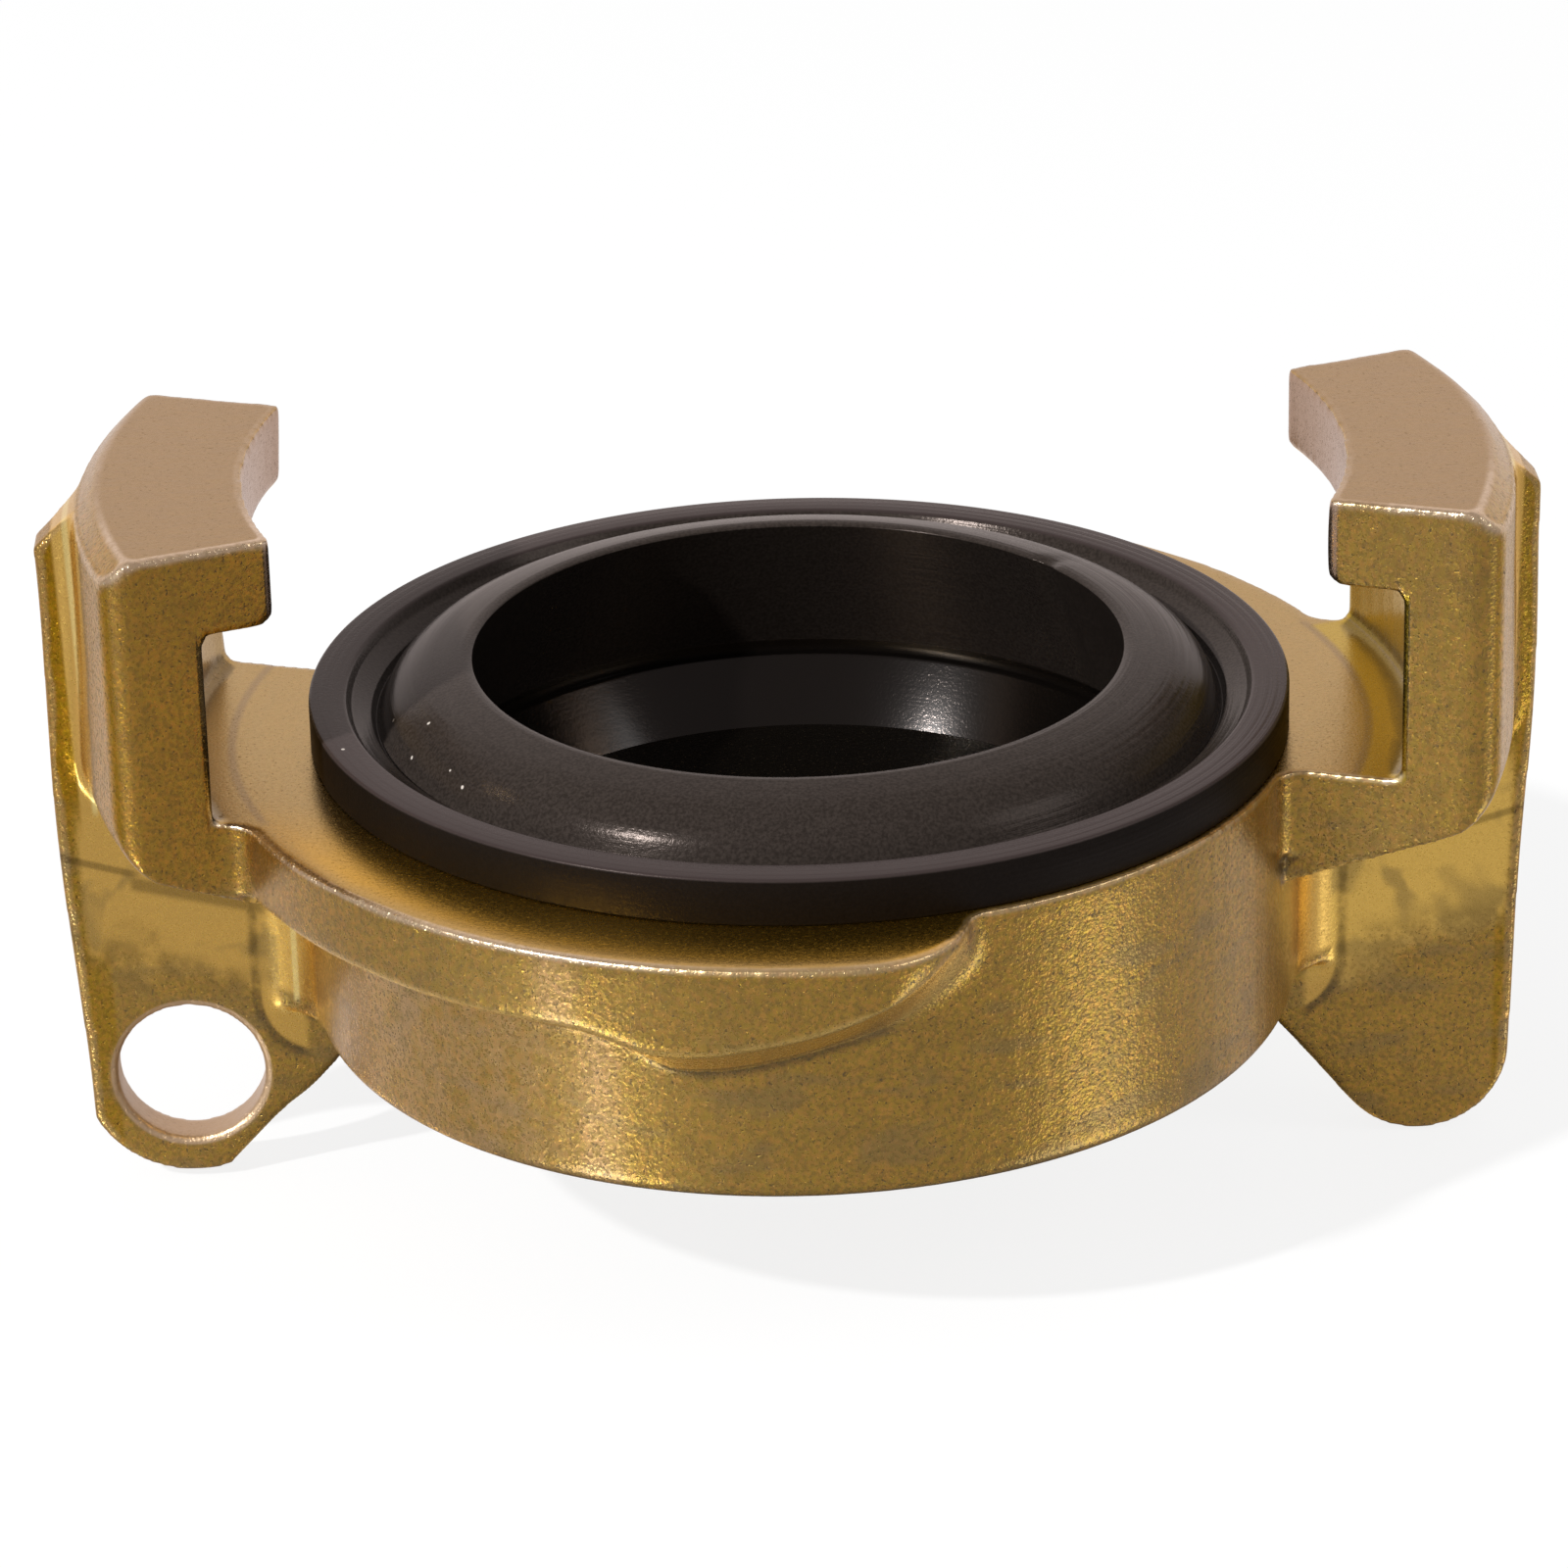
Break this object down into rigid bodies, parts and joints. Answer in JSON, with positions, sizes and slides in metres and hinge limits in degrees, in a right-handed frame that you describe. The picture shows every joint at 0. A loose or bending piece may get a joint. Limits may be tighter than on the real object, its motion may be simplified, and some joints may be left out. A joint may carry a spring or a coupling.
{
  "type": "hose coupling blanking cap",
  "caption": "Forged brass blanking cap for a claw-type quick hose coupling, with hooked claws, a ramped bayonet flange, a chain eye and a snap-in rubber seal ring.",
  "frame": {"origin": "on the cap's axis, in the machined flange face that the seal ring's lip lies on", "axes": "+Z out of the cap along its axis towards the coupling that it closes; X through the middles of the claws, with the chain eye at -X; +Y completes the right-handed frame"},
  "size_m": [0.0508, 0.04, 0.0261],
  "materials": {
    "brass": "as-forged and tumbled brass, olive gold, finely speckled, satin",
    "rubber": "moulded black rubber, matt with a soft sheen and faint turning lines"
  },
  "bodies": {
    "root": {"cap_body": "brass", "seal_ring": "rubber"}
  },
  "joints": []
}
